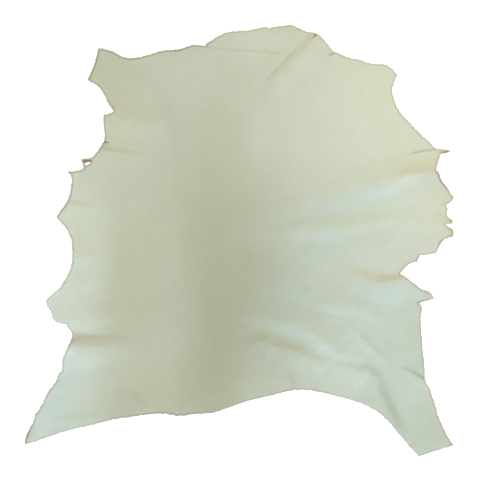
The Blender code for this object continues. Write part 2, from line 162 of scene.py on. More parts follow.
# Thin lines in the grain: dye and dirt gathered in some, painted shade in others, along creases, furrows
# and fold slopes and under lifted edges: rows of x, y, half width and how much darker. Below zero is paler.
dirtAndShadeLines = {
    "left vertical": [(-141.3, 287.1, 8.2, 0), (-134.2, 260.3, 8.6, 0.1), (-125.2, 224.5, 8.6, 0.15),
        (-116.3, 183.4, 8.2, 0.17), (-110.9, 153, 7.9, 0.14), (-110, 117.2, 7.5, 0.08),
        (-110.9, 72.5, 7.2, 0)],
    "left shoulder": [(-245.1, 167.3, 2.1, 0.2), (-234.4, 163.7, 2, 0.34), (-220, 160.5, 2, 0.34),
        (-203.9, 158.7, 1.8, 0.28), (-187.8, 158.3, 1.8, 0.16), (-171.7, 158, 1.8, 0)],
    "left cheek": [(-234.4, 231.7, 2, 0.26), (-223.6, 227.2, 2, 0.24), (-209.3, 220, 2, 0.16),
        (-196.8, 213.8, 1.8, 0)],
    "neck, long": [(-69.8, 349.7, 1.6, 0.1), (-48.3, 345.3, 1.6, 0.24), (-7.2, 340.8, 1.6, 0.24),
        (19.7, 340.1, 1.6, 0.2), (46.5, 337.9, 2, 0.3), (64.4, 334.4, 2.3, 0.3), (80.5, 330.8, 2, 0)],
    "neck, short": [(12.5, 327.4, 1.4, 0), (30.4, 326, 1.4, 0.16), (51.9, 323.8, 1.4, 0.16),
        (71.6, 321.1, 1.4, 0)],
    "neck, low": [(26.8, 273.7, 1.4, 0), (35.8, 271, 1.4, 0.25), (46.5, 268.3, 1.4, 0)],
    "by spike": [(350.6, 163.3, 1.4, 0.4), (338.1, 161.7, 1.4, 0.95), (323.8, 159.4, 1.4, 1.2),
        (307.7, 155.8, 1.3, 0.7), (289.8, 152.4, 1.3, 0)],
    "flank, slanting": [(191.4, -144, 1.8, 0), (205.7, -158.3, 1.8, 0.14), (223.6, -174.4, 2, 0.2),
        (239.7, -189.6, 2.1, 0.22), (252.2, -198.6, 2.1, 0.16), (270.1, -215.6, 1.8, 0)],
    "flank edge": [(279.1, -223.8, 1.6, 0), (295.2, -229.2, 2, 0.45), (307.7, -234.4, 2.1, 0.75),
        (319.3, -240.3, 2.3, 1.05), (334.5, -249.2, 2.7, 1.3)],
    "rump, short": [(78.7, -217.4, 4.3, 0), (85.9, -229.9, 5, 0.16), (92, -242.4, 5.4, 0.3),
        (96.6, -253.1, 5.7, 0.4), (100.5, -265.7, 5.4, 0.44)],
    "rump, thin": [(170, -220, 1.8, 0), (159.2, -234.4, 1.8, 0.1), (146.7, -251.4, 1.8, 0.12),
        (137.8, -263.9, 1.8, 0)],
    "flank, pale": [(227.2, -233.5, 1.4, 0), (214.7, -254.9, 1.6, -0.12), (202.2, -276.4, 1.6, -0.1),
        (195, -288.9, 1.4, 0)],
    "shank, thin": [(288, -272.8, 2.9, 0), (302.3, -292.5, 2.7, 0.07), (320.2, -317.5, 3.2, 0.14),
        (338.1, -340.8, 3.4, 0.16), (354.2, -358.7, 3.2, 0.14), (370.3, -374.8, 2.5, 0.05)],
    "shank furrow": [(205.7, -225.2, 3.6, 0), (216.5, -224.5, 3.9, 0.12), (227.2, -223.8, 4.7, 0.26),
        (237.9, -231, 5.2, 0.3), (249.6, -246, 7.7, 0.42), (258.3, -263.9, 7.9, 0.64),
        (267.1, -285.3, 7.9, 0.68), (276.9, -306.8, 7.7, 0.6), (285.9, -324.7, 7.2, 0.46),
        (294.3, -342.6, 6.4, 0.2), (304.1, -364.1, 5.4, 0)],
    "left foreleg": [(-316.7, 75, 1.6, 0.2), (-304.1, 71.7, 1.6, 0.24), (-289.8, 68.5, 1.8, 0.22),
        (-273.7, 66, 1.8, 0.12), (-254, 59.9, 1.8, 0)],
    "armpit, notch": [(297, -62.8, 1.8, 0.3), (288, -64.2, 2.3, 0.3), (279.1, -64.9, 2.7, 0.26),
        (266.6, -65.7, 2.9, 0.1), (254, -65.7, 2.9, 0)],
    "spur, lip": [(313.1, -84.1, 1.4, 0), (320.2, -88.2, 1.4, 0.4), (329.2, -91.4, 1.4, 0.4),
        (338.1, -96.6, 1.3, 0.2), (343.5, -101.1, 1.3, 0)],
    "spur, under": [(343.5, -103.2, 1.6, 0.4), (332.8, -105.7, 1.6, 0.7), (322, -109.1, 1.8, 0.9),
        (318.1, -111.8, 2, 1.1), (320.2, -117.2, 1.6, 0)],
    "left flank, top": [(-313.1, -171.6, 3.2, 0.1), (-295.2, -171.9, 3.4, 0.2), (-277.3, -170.1, 3.4, 0.42),
        (-259.4, -171.6, 3.2, 0.32), (-239.7, -171.6, 3, 0.16), (-220, -168.3, 2.9, 0)],
    "neck fold": [(139.5, 373, 2.9, 0.2), (130.6, 362.3, 3, 0.16), (118.1, 352.4, 3.2, 0.06),
        (103.8, 341.7, 3.2, 0.12), (91.2, 331, 3.2, 0.24), (82.3, 322, 3.2, 0.16), (73.3, 312.2, 3.2, 0.12),
        (63.5, 301.4, 3, 0.36), (53.7, 290.7, 2.7, 0.26), (46.5, 278.2, 2.3, 0)],
    "neck, branch": [(98.4, 319.3, 2.1, 0), (89.5, 306.8, 2.3, 0.24), (82.3, 294.3, 2.1, 0.2),
        (76.9, 283.6, 2.1, 0)],
    "notch, right": [(365, 1.6, 1.4, 0.6), (361, -1.3, 2, 1.2), (356.5, -3.8, 1.6, 0.7),
        (352.4, -5.9, 1.4, 0)],
    "neck nick": [(170, 335.1, 1.6, 1), (165.5, 333.6, 1.8, 1.9), (160.7, 332, 1.6, 1.1),
        (154.7, 330.2, 1.3, 0)],
    "shoulder edge": [(349.7, 129.7, 1.6, 0.4), (352.4, 122.5, 2, 0.9), (356.9, 111.8, 2, 0.9),
        (363.2, 101.1, 1.8, 0.6), (370.3, 90.3, 1.6, 0.3), (377.5, 79.6, 1.4, 0)],
    "lower left": [(-338.1, -322.9, 2.9, 0), (-316.7, -316.5, 2.9, 0.16), (-291.6, -312.9, 3.2, 0.2),
        (-263, -309.7, 3.2, 0.16), (-234.4, -306.1, 2.9, 0)],
    "spots": [(-195, -263.9, 3.6, 0), (-186.1, -276.4, 3.9, 0.13), (-175.3, -288.9, 3.9, 0.14),
        (-162.8, -301.4, 3.6, 0.05)],
    "by spine": [(57.2, -187, 3.6, 0), (59.9, -203.1, 3.6, 0.12), (60.8, -224.5, 3.6, 0.13),
        (60.8, -246, 3.6, 0)],
    "left flank, in": [(-313.1, -179.4, 3.2, 0.55), (-295.2, -178, 3.4, 0.5), (-277.3, -175.9, 3.2, 0.2),
        (-259.4, -175.5, 2.9, 0.12), (-237.9, -175.3, 2.5, 0)],
    "left tip": [(-361.4, -310.4, 2.1, 0), (-369.4, -328.3, 2.5, 0.16), (-376.6, -343.5, 3.2, 0.4),
        (-382, -356.9, 3.2, 0.5)],
    "foreleg, under": [(323.8, -26.3, 1.4, 0.4), (319.5, -30.6, 1.8, 0.9), (318.1, -35.6, 1.6, 0.7),
        (313.1, -38.5, 1.4, 0)],
}

# Cuts and frayed seams that show the skin's inside: above zero is tan, above one dark brown.
nicks = {
    "shoulder": [(-246, 178.7, 1.4, 1), (-240.4, 176.9, 1.6, 2.2), (-235.8, 175.5, 1.4, 1.7),
        (-230.8, 174.4, 1.1, 0)],
    "top": [(141.3, 370.1, 1.4, 1.2), (137, 366.9, 1.8, 1.8), (133.1, 363.7, 1.4, 1),
        (128.8, 360.5, 1.1, 0)],
    "spike, under": [(357.8, 157.6, 1.3, 0.6), (363.2, 157.1, 1.4, 1.2), (370.3, 158, 1.1, 0.9),
        (376.6, 160.3, 0.9, 0.5)],
    "tear, seam": [(-280, 141.3, 1.4, 1.4), (-271.9, 141.2, 1.8, 2.2), (-263.9, 142.6, 1.4, 1.5)],
    "notch, right": [(365.9, 2, 1.6, 0.8), (360.7, -0.9, 1.8, 1), (356, -3.4, 1.4, 0.4),
        (352.4, -4.8, 1.4, 0)],
    "foreleg, under": [(322, -26.7, 1.4, 0.3), (319.2, -30.9, 1.6, 0.7), (317.7, -35.6, 1.4, 0.5),
        (314, -38.5, 1.4, 0)],
}

# Places: x, y, half width, half length and an amount, then the turn from +Y in degrees,
# unless it is 0, and how sharp the long sides are, unless that is 2, which is soft.
# Here the amount is how far a tip curls off the floor.
liftedPlaces = {
    "spike": (374, 161, 16.1, 8.9, 4.5),
    "torn strip": (-284, 145, 10.7, 5.4, 3.5),
    "spur": (-306, 123, 8.9, 7.2, 2.5),
    "cheek": (-224, 232, 8.9, 8.9, 1.2),
    "turned corner": (-267, 289, 10.7, 8.9, 2.2),
    "right spur": (343, -99, 14.3, 12.5, 2.5),
    "right notch": (383, 76, 10.7, 12.5, 2.2),
    "right lobe": (381, 35, 8.9, 7.2, 1.8),
    "left point": (-326, 42, 10.7, 12.5, 2),
    "lower left end": (-377, -357, 14.3, 12.5, 1.4),
}

# Where the skin lies loose and is more crinkled.
loosePlaces = {
    "right flank": (190, -169, 134.2, 89.5, 1.3, -30),
    "right side": (288, 46, 125.2, 107.3, 0.7),
    "left flank": (-267, -160, 80.5, 89.5, 0.7),
    "neck": (82, 323, 107.3, 62.6, 0.7),
    "left shoulder": (-213, 162, 71.6, 89.5, 0.6),
}

# Where the dye went deeper, and painted shade along the spine and in creases and furrows. Below zero it is
# paler: paler dye, and painted light over the flanks, the upper right and some fold slopes.
dyeAndShadePatches = {
    "spine": (-20, -171, 89.5, 300.6, 1.12, 1),
    "spine, low": (-30, -196, 46.5, 134.2, 0.12),
    "by spine": (-70, -89, 46.5, 214.7, 0.2, 0, 3),
    "left band": (-181, -128, 60.8, 150.3, 0.33, 0, 4),
    "lower left band": (-199, -289, 53.7, 50.1, 0.54),
    "by spine, low": (-102, -278, 53.7, 53.7, 0.34),
    "left edge": (-331, 10, 96.6, 150.3, -0.5, 0, 6),
    "left lobe": (-326, -115, 60.8, 48.3, -0.42),
    "left shoulder": (-209, 180, 50.1, 78.7, -0.24),
    "lower left": (-335, -271, 75.1, 93, -0.42, 20),
    "neck": (109, 332, 107.3, 71.6, -0.02),
    "neck, top": (27, 355, 53.7, 35.8, -0.3),
    "neck, left": (-88, 294, 71.6, 53.7, -0.18),
    "upper right": (245, 235, 184.3, 164.6, -0.55),
    "right side": (345, 35, 119.9, 103.8, -0.34),
    "right flank": (238, -160, 82.3, 89.5, -0.22),
    "right, middle": (152, 1, 60.8, 89.5, -0.14),
    "armpit, left": (245, -38, 71.6, 28.6, -0.14),
    "rump, corner": (30, -271, 39.4, 32.2, -0.26),
    "right of spine": (52, 162, 50.1, 89.5, -0.06),
    "by shoulder": (41, 72, 71.6, 53.7, 0.18),
    "right shank": (320, -353, 68, 53.7, 0.16),
    "above shank": (297, -280, 21.5, 46.5, -0.28, 27),
    "right flank, low": (195, -242, 60.8, 39.4, -0.16),
    "above rump": (41, -49, 50.1, 42.9, 0.3),
    "by foreleg": (-299, 64, 28.6, 68, -0.13),
    "lower left end": (-356, -346, 25, 28.6, -0.2),
    "below shoulder": (245, 76, 16.1, 60.8, -0.18, -74),
    "under crest": (342, 110, 14.3, 25, 0.42, -84),
    "band, low": (-213, -169, 53.7, 53.7, 0.1),
    "right of band": (-88, -228, 32.2, 71.6, 0.09),
    "lower edge": (-249, -318, 46.5, 17.9, 0.12, 12),
    "shoulder, right": (-141, 183, 53.7, 25, -0.06),
    "spine, upper": (34, 189, 23.3, 53.7, -0.13),
    "shank tip": (360, -352, 28.6, 28.6, 0.1),
    "shank, left": (274, -303, 39.4, 46.5, 0.08),
    "rump, middle": (81, -214, 35.8, 26.8, 0.32),
    "rump wedge": (152, -196, 14.3, 39.4, -0.16, 52),
    "above flank": (152, -65, 50.1, 25, 0.06),
    "flank wedge": (234, -199, 8.9, 39.4, -0.22, 50),
    "below armpit": (274, -90, 16.1, 64.4, -0.09, 90),
    "spur": (317, -94, 25, 17.9, -0.26),
    "rump, left": (52, -144, 32.2, 16.1, 0.12),
    "above rump crest": (113, -140, 28.6, 14.3, 0.12, 12),
    "left of spine": (-77, 47, 57.2, 71.6, 0.08),
    "spine, edge": (-66, -242, 25, 57.2, 0.06),
    "lower band, edge": (-213, -257, 32.2, 39.4, -0.09),
    "left side, inner": (-224, 30, 39.4, 46.5, -0.09),
    "left foreleg": (-288, 90, 25, 21.5, -0.12),
    "low armpit": (288, -110, 39.4, 16.1, -0.1),
    "by flank": (267, -192, 12.5, 17.9, 0.13),
    "crease, root": (-242, 169, 5.4, 7.2, 0.3),
    "neck crease": (61, 335, 16.1, 12.5, 0.16),
    "above shoulder": (136, 112, 60.8, 39.4, 0.06),
    "rump edge, right": (231, -285, 16.1, 6.1, 0.2, -38),
    "above armpit": (190, -67, 71.6, 21.5, 0.09),
    "left lobe, inner": (-249, -115, 28.6, 39.4, 0.06),
    "below flank": (318, -257, 17.9, 8.9, -0.16, -28),
    "by spike": (356, 144, 14.3, 17.9, 0.12),
    "below rump band": (138, -225, 16.1, 7.2, -0.16, -12),
    "lower band": (-277, -315, 50.1, 8.9, 0.1, 6),
    "furrow, top": (236, -244, 8.9, 8.9, 0.14),
}

# Painted light: a cool tint on fold slopes that face the cool light and over broad areas where the light
# falls bluish. Below zero it is creamier: painted warm light on slopes that face away and over broad areas.
paintedLightTints = {
    "right of spine": (109, -85, 89.5, 125.2, 1.2),
    "below shoulder": (227, 74, 19.7, 107.3, 1.1, -75),
    "below middle": (177, -1, 16.1, 53.7, 0.6, 88),
    "lower right": (270, -191, 130.6, 130.6, 0.7),
    "shank": (299, -307, 53.7, 68, 0.4),
    "shank furrow": (267, -285, 10.7, 46.5, 0.6, 27),
    "lower left": (-335, -278, 60.8, 89.5, 0.88),
    "left side": (-259, 60, 130.6, 229, -0.7),
    "left cheek": (-224, 244, 57.2, 78.7, -0.85),
    "crease": (-123, 212, 16.1, 75.1, 0.3, 12),
    "by spine, low": (-141, -278, 100.2, 64.4, -1),
    "left band": (-195, -124, 71.6, 107.3, -0.5),
    "by spine": (-52, 46, 46.5, 107.3, -0.25),
    "shoulder fold": (331, 133, 35.8, 16.1, -0.7),
    "upper edge": (288, 233, 71.6, 107.3, -0.42),
    "right edge": (367, 90, 42.9, 118.1, -0.6),
    "under crest": (331, 114, 8.9, 35.8, -0.1, -80),
    "above rump": (41, -49, 50.1, 39.4, -0.35),
    "by foreleg": (-299, 64, 28.6, 68, -0.4),
    "shoulder, left": (242, 115, 10.7, 35.8, -0.4, -76),
    "shoulder, middle": (292, 117, 8.9, 17.9, -0.6, -80),
    "flank, upper": (163, -139, 42.9, 39.4, -0.35),
    "above flank": (152, -65, 50.1, 25, -0.4),
    "flank wedge": (227, -196, 10.7, 35.8, 0.6, 50),
    "flank edge": (313, -242, 5.4, 23.3, 1, 63),
    "spike crease": (324, 159, 5.4, 26.8, 1, -79),
    "rump, corner": (41, -260, 25, 28.6, 0.35),
    "below armpit": (274, -90, 16.1, 64.4, 0.7, 90),
    "spur": (317, -95, 25, 19.7, 1),
    "low armpit": (288, -112, 39.4, 16.1, 0.6),
    "by band, low": (-127, -259, 42.9, 32.2, 0.4),
    "left side, lower": (-277, -46, 28.6, 17.9, 0.4),
    "left flank, below": (-267, -207, 35.8, 17.9, 0.4),
    "left tip": (-376, -346, 6.3, 17.9, 0.8, -24),
    "below neck fold": (148, 326, 25, 25, 0.3),
    "above rump crest": (113, -140, 25, 14.3, -0.4, 12),
    "above armpit": (190, -67, 71.6, 21.5, -0.4),
    "armpit fold": (274, -64, 7.2, 25, -0.4, 90),
    "left side, middle": (-263, -1, 32.2, 28.6, -0.35),
    "shank tip": (327, -353, 35.8, 28.6, 0.35),
    "above middle": (116, 6, 25, 17.9, -0.25),
}

# Where the grain is worn off or the edge is turned over, and a painted shade on the shoulder fold's upper
# slope: one is tan, two is dark brown.
rawAndFoldShadePatches = {
    "spike, tip": (372, 160, 7.5, 3.2, 1.1, 0, 4),
    "spike, root": (361, 160, 5.4, 3.2, 0.25),
    "torn strip": (-274, 144, 10.7, 2.9, 1.1, -6, 4),
    "by tear": (-279, 136, 2.1, 4.5, 0.5),
    "spur": (-303, 122, 4.3, 3.6, 0.5),
    "turned corner": (-267, 289, 5.4, 2.5, 0.8),
    "right notch": (381, 76, 3.2, 7.2, 0.5),
    "right lobe": (379, 37, 4.3, 7.2, 0.8),
    "right lobe, low": (382, 16, 3.9, 7.5, 0.7),
    "shank tip": (379, -364, 3.2, 3.2, 0.5),
    # painted shade: the tan of the fold's upper slope, turned from the light
    "shoulder fold": (313, 127, 7.2, 35.8, 0.2, -86),
    "foreleg, under": (318, -32, 2.9, 5.4, 0.2),
}

# Where the cut edge's line is darker: dirt in places, painted shade in others, such as the left tip. Below
# zero it is lighter.
dirtyAndShadedEdges = {
    "cheek": (-263, 312, 28.6, 35.8, 0.8),
    "shoulder, left": (-242, 199, 17.9, 25, 0.15),
    "left side": (-277, 112, 60.8, 75.1, 0.35),
    "left flank": (-317, -199, 28.6, 46.5, 0.05),
    "lower left": (-349, -285, 39.4, 50.1, 0.1),
    "neck, left": (-191, 334, 64.4, 21.5, 0.55),
    "neck, middle": (-98, 348, 39.4, 17.9, 0.75),
    "rump, left": (-102, -309, 64.4, 21.5, 1),
    "rump, far left": (-199, -316, 50.1, 21.5, 0.7),
    "rump, right": (224, -291, 39.4, 21.5, -0.25),
    "shoulder edge": (361, 103, 14.3, 21.5, 1.1),
    "lobes": (372, 55, 14.3, 14.3, 0.2),
    "foreleg end": (381, 17, 14.3, 10.7, 0.95),
    "foreleg, under": (360, -10, 14.3, 14.3, 0.4),
    "armpit": (309, -38, 25, 21.5, 0.25),
    "spur": (331, -78, 28.6, 14.3, 0.15),
    "flank": (327, -196, 14.3, 89.5, 0.12),
    "spike": (360, 160, 7.2, 5.4, -0.8),
    "left lobe": (-331, -106, 35.8, 50.1, -0.45),
    "left tip": (-379, -352, 8.9, 16.1, 1.1, -24),
    "left foreleg": (-313, 60, 14.3, 14.3, 0.5),
    "armpit notch": (292, -53, 10.7, 7.2, 0.3),
    "rump, middle": (63, -275, 46.5, 17.9, 0.72),
    "rump, top": (131, -266, 35.8, 14.3, 0.25),
    "neck, top": (2, 373, 53.7, 14.3, -0.25),
    "spur, tip": (342, -98, 8.9, 8.9, -0.3),
    "neck, right": (127, 359, 35.8, 25, -0.22),
    "upper right": (225, 312, 50.1, 17.9, -0.18),
}


def crestPath(rows, steps=16):
    # A Catmull-Rom curve: each span is the cubic through its two rows whose slope at a row
    # is half the difference between its neighbours. Both ends are carried straight on.
    rows = np.array(rows, float)
    rows = np.vstack([2 * rows[0] - rows[1], rows, 2 * rows[-1] - rows[-2]])
    before, start, end, after = rows[:-3], rows[1:-2], rows[2:-1], rows[3:]
    t = np.linspace(0, 1, steps, endpoint=False)[:, None, None]
    spans = start + 0.5 * (t * (end - before)
                           + t ** 2 * (2 * before - 5 * start + 4 * end - after)
                           + t ** 3 * (3 * start - before - 3 * end + after))
    return np.vstack([spans.swapaxes(0, 1).reshape(-1, rows.shape[1]), rows[-2]])


def batches(points, most=4000):
    # The points' numbers a few thousand at a time, to spare memory.
    return np.array_split(np.arange(len(points)), len(points) // most + 1)


def nearestOnPath(points, path, closed=False):
    # The nearest place on a line of straight sides: by the nearest corner, then the nearer
    # of its two sides. Returns the distance, the side's number, the share of it that lies
    # before the place, and whether the point is on its left.
    nearest = np.empty(len(points), int)
    squares = (path ** 2).sum(axis=1)
    for part in batches(points):
        nearest[part] = (squares - 2 * points[part] @ path.T).argmin(axis=1)
    found = []
    for side in (nearest - 1, nearest):
        side = side % len(path) if closed else np.clip(side, 0, len(path) - 2)
        start = path[side]
        along = path[(side + 1) % len(path)] - start
        offset = points - start
        share = (offset * along).sum(axis=1) / np.maximum((along ** 2).sum(axis=1), 1e-12)
        share = np.clip(share, 0, 1)
        gap = np.hypot(*(offset - share[:, None] * along).T)
        isLeft = along[:, 0] * offset[:, 1] > along[:, 1] * offset[:, 0]
        found.append((gap, side, share, isLeft))
    second = found[1][0] < found[0][0]
    return [np.where(second, b, a) for a, b in zip(*found)]


def besidePath(points, path, reach):
    # The numbers of the points within reach of the path's box, their distance to the path,
    # its columns at the nearest place, and whether they are on its left.
    inBox = (points > path[:, :2].min(axis=0) - reach) & (points < path[:, :2].max(axis=0) + reach)
    near = np.flatnonzero(inBox.all(axis=1))
    gap, side, share, isLeft = nearestOnPath(points[near], path[:, :2])
    here = path[side] * (1 - share)[:, None] + path[side + 1] * share[:, None]
    return near, gap, here, isLeft


def ridgeHeight(points, table, tip=0.12):
    # The sum of h p(d / w), where d is the distance to a crest, and h and w its height and
    # that side's width at the nearest place. The profile p goes from a round top,
    # (1 - t^2)^2, to a creased one, (1 - t)^2, eased at its tip.
    total = np.zeros(len(points))
    for _, sharp, rows in table:
        path = crestPath(rows)
        near, gap, here, isLeft = besidePath(points, path, path[:, 3:].max())
        t = np.minimum(gap / np.where(isLeft, here[:, 3], here[:, 4]), 1)
        eased = (np.sqrt(t ** 2 + tip ** 2) - tip) / (np.sqrt(1 + tip ** 2) - tip)
        profile = (1 - sharp) * (1 - t ** 2) ** 2 + sharp * (1 - eased) ** 2
        total[near] += here[:, 2] * profile
    return total


def lineSum(points, table, reach=12):
    # The sum of a exp(-(d / w)^2), where d is the distance to a line, and w and a its half
    # width and amount at the nearest place. It is nothing past the reach from a line's box.
    total = np.zeros(len(points))
    for rows in table.values():
        near, gap, here, _ = besidePath(points, crestPath(rows), reach)
        total[near] += here[:, 3] * np.exp(-(gap / here[:, 2]) ** 2)
    return total


def lineDistance(points, *lines, reach=20.0):
    # How far each point is from the nearest of the lines, up to the reach.
    total = np.full(len(points), reach)
    for rows in lines:
        near, gap, _, _ = besidePath(points, crestPath(rows), reach)
        total[near] = np.minimum(total[near], gap)
    return total


def patchSum(points, places):
    # The sum of amount * exp(-|u / a|^k - (v / b)^2), where u and v are the distances across
    # and along a place, a and b its half width and length, and k how sharp its sides are.
    total = np.zeros(len(points))
    for x, y, halfWidth, halfLength, amount, *rest in places.values():
        turn, sharp = rest + [0, 2][len(rest):]
        angle = np.radians(turn)
        offset = points[:, :2] - (x, y)
        across = offset @ (np.cos(angle), np.sin(angle)) / halfWidth
        along = offset @ (-np.sin(angle), np.cos(angle)) / halfLength
        total += amount * np.exp(-np.abs(across) ** sharp - along ** 2)
    return total


def waves(points, kinds, draw, scale=0.9):
    # A smooth random surface between about -1 and 1: the sum of sine waves with random
    # headings, lengths and phases, over the square root of their number.
    longest, shortest, count = kinds
    heading = draw.uniform(0, np.pi, count)
    turns = 2 * np.pi / draw.uniform(shortest, longest, count)
    phase = draw.uniform(0, 2 * np.pi, count)
    across = np.stack([np.cos(heading), np.sin(heading)]) * turns
    return np.sin(points @ across + phase).sum(axis=1) / np.sqrt(count) * scale


def edgeLoops(node, leastDown=0.3):
    # The closed lines round a node's underside, longest first: the sides that only one
    # downward triangle has, followed from end to start.
    mesh = node.data
    points = np.empty(len(mesh.vertices) * 3)
    mesh.vertices.foreach_get("co", points)
    points, welded = np.unique(np.round(points.reshape(-1, 3) / mm, 4), axis=0,
                               return_inverse=True)
    corners = np.empty(len(mesh.loops), int)
    mesh.loops.foreach_get("vertex_index", corners)
    triangles = welded.ravel()[corners].reshape(-1, 3)
    first, second, third = points[triangles].swapaxes(0, 1)
    normals = np.cross(second - first, third - first)
    downward = normals[:, 2] < -leastDown * np.linalg.norm(normals, axis=1)
    triangles = triangles[downward]
    sides = np.vstack([triangles[:, [0, 1]], triangles[:, [1, 2]], triangles[:, [2, 0]]])
    forth = sides[:, 0] * len(points) + sides[:, 1]
    back = sides[:, 1] * len(points) + sides[:, 0]
    # seen from above, the sides of a downward triangle run the other way round
    follow = dict(sides[~np.isin(forth, back)][:, ::-1].tolist())
    loops = []
    while follow:
        loop = [next(iter(follow))]
        while loop[-1] in follow:
            loop.append(follow.pop(loop[-1]))
        loops.append(points[loop[:-1], :2])
    return sorted(loops, key=len, reverse=True)


def rawEdge(loop, spec, draw):
    # The cut edge: the loop in short steps, eased at its shallow corners, and moved in and
    # out along its normals by a sum of sine waves.
    ends = np.roll(loop, -1, axis=0)
    steps = np.ceil(np.hypot(*(ends - loop).T) / spec["rimStep"]).astype(int)
    first = np.repeat(np.cumsum(steps) - steps, steps)
    share = (np.arange(steps.sum()) - first) / np.repeat(steps, steps)
    line = np.repeat(loop, steps, axis=0) * (1 - share)[:, None]
    line += np.repeat(ends, steps, axis=0) * share[:, None]
    turn = np.zeros(len(line))
    behind = loop - np.roll(loop, 1, axis=0)
    ahead = ends - loop
    angle = np.arctan2(behind[:, 0] * ahead[:, 1] - behind[:, 1] * ahead[:, 0],
                       (behind * ahead).sum(axis=1))
    turn[np.cumsum(steps) - steps] = np.abs(angle)
    soft = (turn < np.radians(spec["sharpTurn"]))[:, None]
    for _ in range(spec["easings"]):
        middle = (np.roll(line, 1, axis=0) + np.roll(line, -1, axis=0)) / 2
        line = np.where(soft, (line + middle) / 2, line)
    along = np.roll(line, -1, axis=0) - np.roll(line, 1, axis=0)
    outward = along[:, ::-1] * (1, -1) / np.hypot(*along.T)[:, None]
    # so that a narrow strip's sides never meet
    length = len(line)
    number = np.arange(length)[:, None]
    apart = np.abs(number - number.T)
    apart = np.minimum(apart, length - apart)
    gaps = np.hypot(*(line[:, None] - line).T)
    gaps[apart * spec["rimStep"] < spec["stripReach"]] = np.inf
    narrow, wide = spec["stripWidth"]
    room = np.clip((gaps.min(axis=1) - narrow) / (wide - narrow), 0.1, 1)
    shortest, longest, count = spec["ripples"]
    turns = draw.integers(length // longest, length // shortest, count)
    phase = draw.uniform(0, 2 * np.pi, count)
    ripple = np.sin(2 * np.pi * (number / length * turns + phase / (2 * np.pi))).sum(axis=1)
    ripple *= spec["wobble"] / np.sqrt(count / 2)
    return line + outward * (ripple * room)[:, None], outward


def insideLoops(points, loops):
    # Even-odd rule: a point is inside where a line from it towards +X crosses the loops an
    # odd number of times.
    start = np.vstack(loops)
    end = np.vstack([np.roll(loop, -1, axis=0) for loop in loops])
    rise = end[:, 1] - start[:, 1]
    slope = (end[:, 0] - start[:, 0]) / np.where(rise == 0, 1, rise)
    inside = np.empty(len(points), bool)
    for part in batches(points):
        x, y = points[part].T[:, :, None]
        spans = (start[:, 1] > y) != (end[:, 1] > y)
        beyond = start[:, 0] + (y - start[:, 1]) * slope > x
        inside[part] = (spans & beyond).sum(axis=1) % 2 == 1
    return inside


def edgeDistance(points, loops):
    # The distance from each point to the nearest side of any loop.
    gaps = [nearestOnPath(points, loop, closed=True)[0] for loop in loops]
    return np.minimum.reduce(gaps)


def lattice(cell, loops):
    # Rows of points a cell apart, with every second row shifted by half a cell.
    low, high = loops[0].min(axis=0), loops[0].max(axis=0)
    rows = np.arange(low[1], high[1], cell * np.sqrt(0.75))
    columns = np.arange(low[0], high[0] + cell, cell)
    x, y = np.meshgrid(columns, rows)
    x = x + np.where(np.arange(len(rows)) % 2, cell / 2, 0)[:, None]
    points = np.stack([x.ravel(), y.ravel()], axis=1)
    return points[insideLoops(points, loops)]


def fillLoops(loops, inner):
    # Delaunay triangles over the loops and the points in them, less those outside a loop.
    points = np.vstack([*loops, inner])
    sides = []
    offset = 0
    for loop in loops:
        numbers = np.arange(len(loop))
        sides.append(np.stack([numbers, np.roll(numbers, -1)], axis=1) + offset)
        offset += len(loop)
    corners = list(map(Vector, points.tolist()))
    result = delaunay_2d_cdt(corners, np.vstack(sides).tolist(), [], 0, 1e-6, False)
    assert len(result[0]) == len(points), "the raw edge crosses itself"
    triangles = np.array(result[2])
    onRim = (triangles < offset).all(axis=1)
    middle = points[triangles[onRim]].mean(axis=1)
    keep = np.ones(len(triangles), bool)
    keep[onRim] = insideLoops(middle, loops)
    return points, triangles[keep]


def halfCells(points, cell):
    # The three points that split each lattice point's cell into four.
    up = cell * np.sqrt(0.1875)
    return np.vstack([points + (cell / 2, 0), points + (cell / 4, up), points + (-cell / 4, up)])


def leatherHeight(points, gap, spec):
    # The underside's height: the sum of the folds, the curled tips, a broad swell, lifts
    # here and there along the edge, and small crinkles.
    draw = np.random.default_rng(spec["seed"] + 1)
    drift = [waves(points, spec["driftWaves"], draw) * spec["drift"] for _ in "xy"]
    height = ridgeHeight(points + np.stack(drift, axis=1), folds)
    height += patchSum(points, liftedPlaces)
    swell = waves(points, spec["swellWaves"], draw)
    height += spec["swell"] * np.clip(1 + swell, 0, 2) / 2
    lift = waves(points, spec["liftWaves"], draw)
    nearEdge = np.exp(-(gap / spec["liftReach"]) ** 2)
    height += spec["lift"] * np.maximum(lift, 0) * nearEdge
    crinkle = waves(points * spec["crinkleSquash"], spec["crinkleWaves"], draw)
    height += spec["crinkle"] * (1 + crinkle) * (spec["taut"] + patchSum(points, loosePlaces))
    return np.maximum(height, 0)


